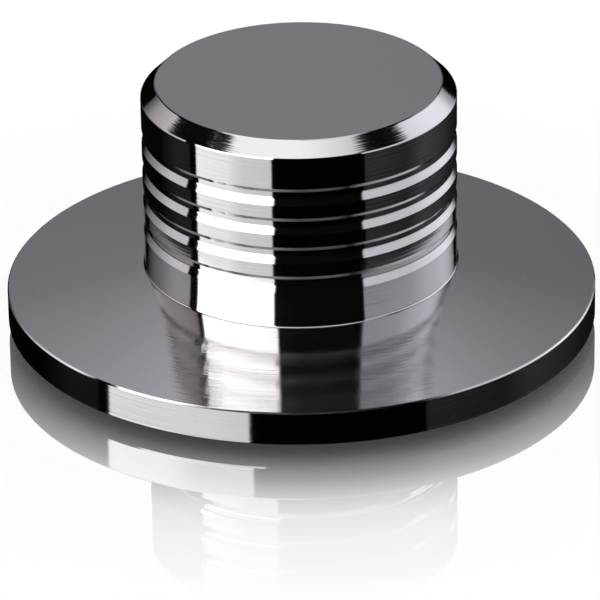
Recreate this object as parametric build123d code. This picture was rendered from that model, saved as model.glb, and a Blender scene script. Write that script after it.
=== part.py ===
from build123d import *
from math import radians, tan
import os

# A turned record weight that stands on a soft pad and drops over the spindle of a turntable.
# Driving dimensions are in millimetres and slopes in degrees. The origin is the middle of
# the pad's lower face. Heights of the weight are taken from the underside of its flange.

# Flange
flange_diameter = 90.0
flange_edge_height = 5.3
flange_top_slope = 9.3  # the flange's top climbs towards the grip
flange_edge_break = 0.2

# Grip
grip_diameter = 47.8
weight_height = 38.5
grip_foot_radius = 0.3  # cove where the grip meets the flange
top_chamfer_width = 2.2
top_chamfer_height = 2.1
grip_edge_break = 0.12

# Finger grooves around the grip
groove_count = 4
groove_pitch = 4.78
groove_band_lift = 0.36  # middle of the grooves above the middle of the grip's straight side
groove_opening = 2.74
groove_depth = 0.48
groove_lower_slope = 22.3  # of the lower wall, away from the grip's axis
groove_upper_slope = 60.0  # of the upper wall, away from the grip's axis
groove_nose_radius = 0.8  # left by the tool between the lower wall and the floor
groove_bevel_depth = 0.25  # bevel on the edge above the groove, across the grip's radius
groove_bevel_height = 0.54

# Spindle bore, drilled from below with the usual drill point
bore_diameter = 7.6  # for a 7.2 mm spindle
bore_depth = 20.0  # straight wall, lead-in left out
bore_lead_in = 0.8
drill_point_angle = 118.0

# Pad under the flange
pad_diameter = 70.0
pad_thickness = 1.9
pad_hole_diameter = 9.6
pad_edge_break = 0.3

flange_radius = flange_diameter / 2
grip_radius = grip_diameter / 2
pad_radius = pad_diameter / 2
bore_radius = bore_diameter / 2
grip_foot_height = flange_edge_height + (flange_radius - grip_radius) * tan(radians(flange_top_slope))

# Corners of the half section, as radius and height, that get a rounding or a broken edge
flange_lower_corner = (flange_radius, 0)
flange_upper_corner = (flange_radius, flange_edge_height)
grip_foot_corner = (grip_radius, grip_foot_height)
chamfer_lower_corner = (grip_radius, weight_height - top_chamfer_height)
chamfer_upper_corner = (grip_radius - top_chamfer_width, weight_height)

groove_band_height = (groove_count - 1) * groove_pitch + groove_opening
groove_band_middle = (grip_foot_height + weight_height - top_chamfer_height) / 2 + groove_band_lift
lowest_groove_height = groove_band_middle - groove_band_height / 2
groove_lower_edges = [lowest_groove_height + index * groove_pitch for index in range(groove_count)]


def groove_nose_corner(lower_edge):
    """Corner where the lower wall of a groove meets its floor."""
    return (grip_radius - groove_depth, lower_edge + groove_depth / tan(radians(groove_lower_slope)))


def groove_outline(lower_edge):
    """Corners of one groove, from its lower edge up to the top of the bevel above it."""
    upper_edge = lower_edge + groove_opening
    bevel_foot = upper_edge - groove_bevel_height
    step_height = (groove_depth - groove_bevel_depth) / tan(radians(groove_upper_slope))
    return [
        (grip_radius, lower_edge),
        groove_nose_corner(lower_edge),
        (grip_radius - groove_depth, bevel_foot - step_height),
        (grip_radius - groove_bevel_depth, bevel_foot),
        (grip_radius, upper_edge),
    ]


def weight_outline():
    """Corners of the half section, from the underside round the flange and up to the top face."""
    corners = [
        (0, 0),
        flange_lower_corner,
        flange_upper_corner,
        grip_foot_corner,
    ]
    for lower_edge in groove_lower_edges:
        corners += groove_outline(lower_edge)
    corners += [
        chamfer_lower_corner,
        chamfer_upper_corner,
        (0, weight_height),
    ]
    return corners


def spindle_bore():
    """The drilled hole as a solid, mouth at the flange's underside."""
    straight_end = bore_lead_in + bore_depth
    tip = straight_end + bore_radius / tan(radians(drill_point_angle / 2))
    with BuildPart() as drilled:
        with BuildSketch(Plane.XZ):
            with BuildLine():
                Polyline(
                    (0, 0),
                    (bore_radius + bore_lead_in, 0),
                    (bore_radius, bore_lead_in),
                    (bore_radius, straight_end),
                    (0, tip),
                    close=True,
                )
            make_face()
        revolve(axis=Axis.Z)
    return drilled.part


def nearest_corner(section, corner):
    """The vertex of a section that lies at a corner of its outline."""
    return section.vertices().sort_by_distance(corner)[0]


def weight_body():
    """Flange and grooved grip, turned from one bar."""
    with BuildPart() as turned:
        with BuildSketch(Plane.XZ) as section:
            with BuildLine():
                Polyline(*weight_outline(), close=True)
            make_face()
            for corner in (flange_lower_corner, flange_upper_corner):
                chamfer(nearest_corner(section, corner), flange_edge_break)
            for corner in (chamfer_lower_corner, chamfer_upper_corner):
                chamfer(nearest_corner(section, corner), grip_edge_break)
            fillet(nearest_corner(section, grip_foot_corner), grip_foot_radius)
            for lower_edge in groove_lower_edges:
                fillet(nearest_corner(section, groove_nose_corner(lower_edge)), groove_nose_radius)
        revolve(axis=Axis.Z)
        add(spindle_bore(), mode=Mode.SUBTRACT)
    return turned.part.moved(Location((0, 0, pad_thickness)))


def contact_pad():
    """Flat ring that keeps the metal off the record's label."""
    standing = (Align.CENTER, Align.CENTER, Align.MIN)
    with BuildPart() as ring:
        Cylinder(pad_radius, pad_thickness, align=standing)
        lower_rim = ring.edges().filter_by(GeomType.CIRCLE).sort_by(Axis.Z)[0]
        chamfer(lower_rim, pad_edge_break)
        Cylinder(pad_hole_diameter / 2, pad_thickness, align=standing, mode=Mode.SUBTRACT)
    return ring.part


parts = {"weight_body": weight_body(), "contact_pad": contact_pad()}
os.makedirs("parts", exist_ok=True)
for name, shape in parts.items():
    export_step(shape, f"parts/{name}.step")
    print(f"{name}: volume {shape.volume / 1000:.2f} cm3")
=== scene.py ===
import bmesh
import bpy
import math
from mathutils import Matrix, Vector


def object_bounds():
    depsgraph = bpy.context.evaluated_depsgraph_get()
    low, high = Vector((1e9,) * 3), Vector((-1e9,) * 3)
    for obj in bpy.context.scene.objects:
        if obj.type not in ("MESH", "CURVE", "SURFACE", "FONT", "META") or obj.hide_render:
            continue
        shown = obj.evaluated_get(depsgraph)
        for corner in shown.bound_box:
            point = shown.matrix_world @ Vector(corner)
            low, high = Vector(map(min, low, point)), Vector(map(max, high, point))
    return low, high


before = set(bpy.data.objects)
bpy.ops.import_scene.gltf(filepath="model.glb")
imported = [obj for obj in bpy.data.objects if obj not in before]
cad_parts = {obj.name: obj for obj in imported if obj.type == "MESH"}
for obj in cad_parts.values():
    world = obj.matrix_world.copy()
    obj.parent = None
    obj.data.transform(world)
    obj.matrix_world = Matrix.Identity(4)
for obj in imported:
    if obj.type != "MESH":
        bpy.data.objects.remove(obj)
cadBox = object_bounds()

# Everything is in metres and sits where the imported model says.
flangeRadius = (cadBox[1].x - cadBox[0].x) / 2


def toSockets(tree, node, values):
    # a socket is linked, anything else is written on the node's own input
    for name, value in values.items():
        if isinstance(value, bpy.types.NodeSocket):
            tree.links.new(value, node.inputs[name])
        else:
            node.inputs[name].default_value = value
    return node


def addNode(tree, kind, values=None, **settings):
    node = tree.nodes.new(kind)
    for name, value in settings.items():
        setattr(node, name, value)
    return toSockets(tree, node, values or {})


def calc(tree, operation, *values, clamp=False):
    inputs = dict(enumerate(values))
    return addNode(tree, "ShaderNodeMath", inputs, operation=operation, use_clamp=clamp).outputs[0]


def rescale(tree, value, source, target, smooth=False):
    # from one range to another, and level outside the first
    inputs = {"Value": value}
    inputs["From Min"], inputs["From Max"] = source
    inputs["To Min"], inputs["To Max"] = target
    kind = "SMOOTHSTEP" if smooth else "LINEAR"
    return addNode(tree, "ShaderNodeMapRange", inputs, interpolation_type=kind).outputs["Result"]


def ramp(tree, value, stops):
    # straight from stop to stop, and level outside them
    places = sorted(stops)
    level = stops[places[0]]
    for low, high in zip(places, places[1:]):
        step = rescale(tree, value, (low, high), (0, stops[high] - stops[low]))
        level = calc(tree, "ADD", step, level)
    return level


def blendColours(tree, share, first, second):
    # 6 and 7 are the colour inputs of a Mix node, and 2 is its colour output
    node = addNode(tree, "ShaderNodeMix", data_type="RGBA", clamp_factor=True)
    toSockets(tree, node, {0: share, 6: first, 7: second})
    return node.outputs[2]


def emptyMaterial(name):
    material = bpy.data.materials.new(name)
    material.use_nodes = True
    material.node_tree.nodes.clear()
    return material, material.node_tree


def finishMaterial(tree, shader):
    addNode(tree, "ShaderNodeOutputMaterial", {"Surface": shader})


def axisDistance(tree):
    # distance from the weight's axis, height, and the place itself, all in metres
    place = addNode(tree, "ShaderNodeTexCoord").outputs["Object"]
    parts = addNode(tree, "ShaderNodeSeparateXYZ", {"Vector": place})
    flat = addNode(tree, "ShaderNodeCombineXYZ", {"X": parts.outputs["X"], "Y": parts.outputs["Y"]})
    length = addNode(tree, "ShaderNodeVectorMath", {0: flat.outputs[0]}, operation="LENGTH")
    return length.outputs["Value"], parts.outputs["Z"], place


# Polished steel with the rings that a lathe leaves, fine ones over coarse ones. The depths are in
# metres, and the anisotropy's turn is a share of a full circle.
steel = {
    "colour": (0.56, 0.548, 0.562, 1),
    "ringColour": (0.58, 0.568, 0.582, 1),
    "roughness": 0.07,
    "anisotropy": 0.9,
    "anisotropyTurn": 0.25,
    "fineRings": {"perMetre": 2600, "depth": 0.000008, "detail": 2.0},
    "coarseRings": {"perMetre": 420, "depth": 0.000004, "detail": 1.0},
}


def ringNoise(tree, along, rings):
    across = calc(tree, "MULTIPLY", along, rings["perMetre"])
    inputs = {"W": across, "Scale": 1.0, "Detail": rings["detail"]}
    return addNode(tree, "ShaderNodeTexNoise", inputs, noise_dimensions="1D").outputs["Fac"]


def polishedSteel():
    material, tree = emptyMaterial("polishedSteel")
    radius, height, _ = axisDistance(tree)
    # changes along every face of the turned shape, so that the rings run round all of them
    along = calc(tree, "SUBTRACT", height, radius)
    fine = ringNoise(tree, along, steel["fineRings"])
    coarse = ringNoise(tree, along, steel["coarseRings"])
    coarseDepth = calc(tree, "MULTIPLY", coarse, steel["coarseRings"]["depth"])
    rings = calc(tree, "MULTIPLY_ADD", fine, steel["fineRings"]["depth"], coarseDepth)
    bump = addNode(tree, "ShaderNodeBump", {"Height": rings, "Strength": 1.0, "Distance": 1.0})
    around = addNode(tree, "ShaderNodeTangent", direction_type="RADIAL", axis="Z")
    shader = addNode(tree, "ShaderNodeBsdfPrincipled", {
        "Base Color": blendColours(tree, fine, steel["colour"], steel["ringColour"]),
        "Metallic": 1.0,
        "Roughness": steel["roughness"],
        "Anisotropic": steel["anisotropy"],
        "Anisotropic Rotation": steel["anisotropyTurn"],
        "Normal": bump.outputs["Normal"],
        "Tangent": around.outputs["Tangent"],
    })
    finishMaterial(tree, shader.outputs["BSDF"])
    return material


# Matt black sheet rubber of the pad
rubber = {
    "dark": (0.012, 0.012, 0.013, 1),
    "light": (0.03, 0.03, 0.031, 1),
    "roughness": (0.62, 0.8),
    "grainPerMetre": 2400,
    "grainDepth": 0.00003,
    "grainDetail": 4.0,
    "grainRoughness": 0.6,
}


def padRubber():
    material, tree = emptyMaterial("padRubber")
    _, _, place = axisDistance(tree)
    grain = addNode(tree, "ShaderNodeTexNoise", {
        "Vector": place,
        "Scale": rubber["grainPerMetre"],
        "Detail": rubber["grainDetail"],
        "Roughness": rubber["grainRoughness"],
    }).outputs["Fac"]
    bump = addNode(tree, "ShaderNodeBump", {
        "Height": grain,
        "Strength": 1.0,
        "Distance": rubber["grainDepth"],
    })
    shader = addNode(tree, "ShaderNodeBsdfPrincipled", {
        "Base Color": blendColours(tree, grain, rubber["dark"], rubber["light"]),
        "Roughness": rescale(tree, grain, (0, 1), rubber["roughness"]),
        "Normal": bump.outputs["Normal"],
    })
    finishMaterial(tree, shader.outputs["BSDF"])
    return material


def dress(node, material):
    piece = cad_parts[node]
    piece.data.materials.clear()
    piece.data.materials.append(material)


dress("weight_body", polishedSteel())
dress("contact_pad", padRubber())
print("the turned weight and its pad have their finishes")

# Pale floor. Its gloss is given by distance from the flange's rim and fades away from it.
floor = {
    "size": 30.0,
    "colour": (1, 1, 1, 1),
    "glossColour": (1, 1, 1, 1),
    "glossRoughness": 0.0,
    "gloss": {0: 0.85, 0.007: 0.62, 0.0125: 0.36, 0.018: 0.2, 0.024: 0.12, 0.037: 0.05, 0.043: 0},
}


def flatSheet(name, size):
    sheet = bmesh.new()
    bmesh.ops.create_grid(sheet, x_segments=1, y_segments=1, size=size / 2)
    mesh = bpy.data.meshes.new(name)
    sheet.to_mesh(mesh)
    sheet.free()
    piece = bpy.data.objects.new(name, mesh)
    bpy.context.scene.collection.objects.link(piece)
    return piece


def floorFinish():
    material, tree = emptyMaterial("paleFloor")
    radius, _, _ = axisDistance(tree)
    share = ramp(tree, calc(tree, "SUBTRACT", radius, flangeRadius), floor["gloss"])
    matt = addNode(tree, "ShaderNodeBsdfDiffuse", {"Color": floor["colour"]})
    gloss = addNode(tree, "ShaderNodeBsdfAnisotropic", {
        "Color": floor["glossColour"],
        "Roughness": floor["glossRoughness"],
    })
    top = addNode(tree, "ShaderNodeMixShader", {0: share, 1: matt.outputs[0], 2: gloss.outputs[0]})
    # from below the floor is open, so that the underside of the weight can be looked at
    below = addNode(tree, "ShaderNodeNewGeometry").outputs["Backfacing"]
    clear = addNode(tree, "ShaderNodeBsdfTransparent")
    sheet = addNode(tree, "ShaderNodeMixShader", {0: below, 1: top.outputs[0], 2: clear.outputs[0]})
    finishMaterial(tree, sheet.outputs[0])
    return material


paleFloor = flatSheet("paleFloor", floor["size"])
paleFloor.data.materials.append(floorFinish())
paleFloor.visible_glossy = False  # the steel mirrors the studio alone
print("the floor is laid")

# Studio round the weight, which only the steel's reflections show. Azimuth 0 is the camera's
# side and 90 is its right, elevation 0 is level, all in degrees. Sides go by elevation and
# brightness by azimuth, as stops with straight lines between them.
# A second look has been mirrored once before, by the steel or the floor, and the entries that
# end in Second are for it. Well below the horizon the world paints dim images of the panels for
# the steel, a painted reflection as in a dark gloss under the weight, whose brightness is inGloss.
studio = {
    "panels": {
        "key": {
            "left": {-36: -84, -27.5: -81.4, -16: -79, 12: -77.3, 25: -82, 50: -82.5},
            "leftSecond": {12: -79.2, 25: -82, 35: -84, 41: -88, 45: -92, 46.5: -78},
            "right": {-28: -21.2, -25: -20.4, -16: -20, 10: -19.5, 22: -19, 35: -20.2},
            "foot": -12.5,
            "top": 46.5,
            "topSecond": 48.5,
            "colour": (1, 1, 0.99),
            "tone": {-80: 3.8, -45: 3.8, -20: 3.4},
            "inGloss": {-82: 1.5, -55: 1.4, -42: 0.98, -20: 0.95},
            # instead of inGloss for a first look that is steeper than rimSteepness
            "onRim": {-82: 1.05, -59: 1.0, -40: 1.2, -20: 1.0},
        },
        "right": {
            "left": {-28: 49, -25: 48.5, -16: 45, 20: 45, 38: 50, 46: 52.5},
            "right": {-14: 165, -6: 152, 8: 146.5, 20: 147, 33: 163},
            "foot": -12.5,
            "top": 43.5,
            "topSecond": 51,
            "colour": (0.985, 0.962, 1.03),
            "tone": {
                60: 0.75, 84: 0.82, 100: 1.1, 122: 1.3, 130: 1.17, 136: 0.98, 146: 0.34, 160: 0.3,
            },
            # what the brightness is multiplied by, by elevation
            "higher": {3: 1, 18: 1.25, 27: 1.05},
            "higherSecond": 0.95,
            "inGloss": {60: 0.05, 84: 0.035, 101: 0.085, 122: 0.06, 142: 0.024, 160: 0.01},
        },
        "left": {
            "left": {-14: -165, -4: -150, 9: -142, 18: -150},
            "right": {12: -86.7, 25: -88, 33: -92},
            "foot": -12.5,
            "top": 31.5,
            "topSecond": 31.5,
            "colour": (1, 0.95, 1.01),
            "tone": {-150: 0.02, -146: 0.05, -138: 0.2, -130: 0.34, -122: 0.44, -102: 0.88},
            "higher": {9: 1, 18: 1.85, 27: 1.65},
            "higherSecond": 0.78,
            "inGloss": {-122: 0.003, -101: 0.027, -90: 0.027},
        },
        # for second looks only: for first looks its foot and its top are the same
        "upperLeft": {
            "left": {33: -166, 46: -168},
            "right": {33: -92, 41: -94, 46: -97},
            "foot": 31.5,
            "top": 31.5,
            "topSecond": 47,
            "colour": (1, 0.92, 0.93),
            "tone": {-166: 0.6, -110: 0.56, -96: 0.45},
        },
    },
    "edge": 0.6,  # half the width over which a panel's edge fades
    "glossBelow": -12.5,  # every look below this elevation is in the painted dark gloss
    "glossSecond": (22.5, 32),  # and so is a second look between these steepnesses
    "dimGlossBelow": 6,  # for the right and left panels also a second look below this elevation
    "dimGlossShare": {24.8: 1, 27.6: 0.3},  # of their brightness in the painted gloss, by steepness
    "rimSteepness": 27,
    "ceiling": {
        "foot": {-78: 56.5, -66: 54.5, -42: 53, 0: 57.2, 45: 54.8, 62: 58.4, 80: 60},
        "edge": 1.0,
        "colour": (1, 1, 1),
        "tone": {-60: 1.52, 0: 1.52, 33: 1.3, 62: 1.02},
        "toneSecond": {-60: 1.1, -42: 0.95, -15: 0.5, 0: 0.4, 62: 0.45},
    },
    # behind the weight, from side to side through azimuth 180, and brighter to the left
    "backdrop": {
        "side": 158,
        "edge": 3,
        "colour": (1, 0.958, 1.035),
        "tone": {0: 0, 8: 0.22, 26: 0.32, 38: 0.5, 56: 0.9},
        "towardMiddle": {158: 0.6, 168: 0.8, 176: 1},
        "lean": 0.6,
        "glossShare": 0.004,
    },
    "darkGround": (0.0003, 0.0003, 0.0003, 1),
    "plainLight": (1.015, 1.015, 1.015, 1),
}


def past(tree, value, line, edge):
    # 0 before the line and 1 after it
    over = calc(tree, "SUBTRACT", value, line)
    return rescale(tree, over, (-edge, edge), (0, 1), smooth=True)


def between(tree, value, low, high, edge):
    under = calc(tree, "SUBTRACT", 1.0, past(tree, value, high, edge))
    return calc(tree, "MULTIPLY", past(tree, value, low, edge), under)


def pick(tree, share, first, second):
    # the first number at a share of 0 and the second at 1
    return addNode(tree, "ShaderNodeMix", {0: share, 2: first, 3: second}).outputs[0]


def tinted(tree, value, colour):
    channels = {i: calc(tree, "MULTIPLY", value, share) for i, share in enumerate(colour)}
    return addNode(tree, "ShaderNodeCombineColor", channels).outputs[0]


def panelLight(tree, panel, view):
    edge = studio["edge"]
    azimuth = view["azimuth"]
    elevation = view["elevation"]
    second = view["second"]
    left = ramp(tree, elevation, panel["left"])
    if "leftSecond" in panel:
        left = pick(tree, second, left, ramp(tree, elevation, panel["leftSecond"]))
    across = between(tree, azimuth, left, ramp(tree, elevation, panel["right"]), edge)
    top = pick(tree, second, panel["top"], panel["topSecond"])
    reach = between(tree, elevation, panel["foot"], top, edge)
    tone = ramp(tree, azimuth, panel["tone"])
    if "higher" in panel:
        higher = pick(tree, second, ramp(tree, elevation, panel["higher"]), panel["higherSecond"])
        tone = calc(tree, "MULTIPLY", tone, higher)
    # painted reflection: well below the horizon the panel shows dimly, as a dark gloss would mirror
    # it
    if "inGloss" in panel:
        gloss = view["inGloss"]
        glossTone = ramp(tree, azimuth, panel["inGloss"])
        if "onRim" in panel:
            glossTone = pick(tree, view["onRim"], glossTone, ramp(tree, azimuth, panel["onRim"]))
        else:
            # the other panels are dim there, and dimmer still for steep looks
            dimmed = ramp(tree, view["steepness"], studio["dimGlossShare"])
            glossTone = calc(tree, "MULTIPLY", glossTone, dimmed)
            gloss = calc(tree, "MAXIMUM", gloss, view["inDimGloss"])
        tone = pick(tree, gloss, tone, glossTone)
        reach = calc(tree, "MAXIMUM", reach, gloss)
    return calc(tree, "MULTIPLY", across, reach), tinted(tree, tone, panel["colour"])


def backdropLight(tree, view):
    backdrop = studio["backdrop"]
    turned = calc(tree, "ABSOLUTE", view["azimuth"])
    tone = calc(tree, "MULTIPLY", ramp(tree, view["elevation"], backdrop["tone"]),
                ramp(tree, turned, backdrop["towardMiddle"]))
    leaning = calc(tree, "MULTIPLY_ADD", view["x"], -backdrop["lean"], 1.0)
    tone = calc(tree, "MULTIPLY", tone, leaning)
    # painted reflection: in the painted dark gloss the backdrop is dimmed to glossShare
    glossed = pick(tree, view["inGloss"], 1.0, backdrop["glossShare"])
    tone = calc(tree, "MULTIPLY", tone, glossed)
    behind = past(tree, turned, backdrop["side"], backdrop["edge"])
    return behind, tinted(tree, tone, backdrop["colour"])


def ceilingLight(tree, view):
    ceiling = studio["ceiling"]
    foot = ramp(tree, view["azimuth"], ceiling["foot"])
    above = past(tree, view["elevation"], foot, ceiling["edge"])
    tone = pick(tree, view["second"], ramp(tree, view["azimuth"], ceiling["tone"]),
                ramp(tree, view["azimuth"], ceiling["toneSecond"]))
    return above, tinted(tree, tone, ceiling["colour"])


def studioView(tree, rays):
    # where a look goes, and which of the studio's parts it gets
    direction = addNode(tree, "ShaderNodeTexCoord").outputs["Generated"]
    x, y, z = addNode(tree, "ShaderNodeSeparateXYZ", {"Vector": direction}).outputs
    toCamera = calc(tree, "MULTIPLY", y, -1.0)
    azimuth = calc(tree, "DEGREES", calc(tree, "ARCTAN2", x, toCamera))
    elevation = calc(tree, "DEGREES", calc(tree, "ARCSINE", z))
    steepness = calc(tree, "ABSOLUTE", elevation)
    second = calc(tree, "GREATER_THAN", rays["Glossy Depth"], 1.5)  # mirrored twice or more
    below = calc(tree, "LESS_THAN", elevation, studio["glossBelow"])
    steepEnough = between(tree, steepness, *studio["glossSecond"], studio["edge"])
    mirrored = calc(tree, "MULTIPLY", second, steepEnough)
    low = calc(tree, "LESS_THAN", elevation, studio["dimGlossBelow"])
    steep = calc(tree, "GREATER_THAN", steepness, studio["rimSteepness"])
    return {
        "x": x,
        "azimuth": azimuth,
        "elevation": elevation,
        "steepness": steepness,
        "second": second,
        "inGloss": calc(tree, "MAXIMUM", below, mirrored),
        "inDimGloss": calc(tree, "MULTIPLY", second, low),
        "onRim": pick(tree, second, steep, 0.0),
    }


def studioWorld():
    world = bpy.data.worlds.new("studio")
    world.use_nodes = True
    tree = world.node_tree
    tree.nodes.clear()
    rays = addNode(tree, "ShaderNodeLightPath").outputs
    view = studioView(tree, rays)
    # each light covers those before it
    lights = [backdropLight(tree, view)]
    lights += [panelLight(tree, panel, view) for panel in studio["panels"].values()]
    lights.append(ceilingLight(tree, view))
    colour = studio["darkGround"]
    for mask, light in lights:
        colour = blendColours(tree, mask, colour, light)
    # the steel's reflections get the studio, and all else gets plain white light: the camera,
    # the floor's mirror and what a matt surface sees
    fromSteel = calc(tree, "SUBTRACT", rays["Is Glossy Ray"], rays["Is Singular Ray"], clamp=True)
    noMattYet = calc(tree, "LESS_THAN", rays["Diffuse Depth"], 0.5)
    share = calc(tree, "MULTIPLY", fromSteel, noMattYet)
    seen = blendColours(tree, share, studio["plainLight"], colour)
    background = addNode(tree, "ShaderNodeBackground", {"Color": seen, "Strength": 1.0})
    addNode(tree, "ShaderNodeOutputWorld", {"Surface": background.outputs[0]})
    bpy.context.scene.world = world


studioWorld()
bpy.context.scene.view_settings.view_transform = "Standard"
print("the studio is lit")

# Camera, as fitted to the photograph: a long lens, a little above the weight. The angles are in
# degrees, the lens and its sensor in millimetres.
camera = {
    "elevation": 26.449,
    "roll": 0.859,
    "distance": 0.87666,
    "target": (-0.000257, 0.0, 0.003341),
    "lens": 342.607,
    "sensorWidth": 36.0,
    "clip": (0.01, 100.0),
}


def addCamera():
    data = bpy.data.cameras.new("photoCamera")
    data.lens = camera["lens"]
    data.sensor_width = camera["sensorWidth"]
    data.clip_start, data.clip_end = camera["clip"]
    holder = bpy.data.objects.new("photoCamera", data)
    bpy.context.scene.collection.objects.link(holder)
    tilt = Matrix.Rotation(math.radians(90 - camera["elevation"]), 4, "X")
    roll = Matrix.Rotation(math.radians(-camera["roll"]), 4, "Z")
    turn = tilt @ roll
    back = turn @ Vector((0, 0, camera["distance"]))
    holder.matrix_world = Matrix.Translation(Vector(camera["target"]) + back) @ turn
    bpy.context.scene.camera = holder


addCamera()
print("the camera is set")
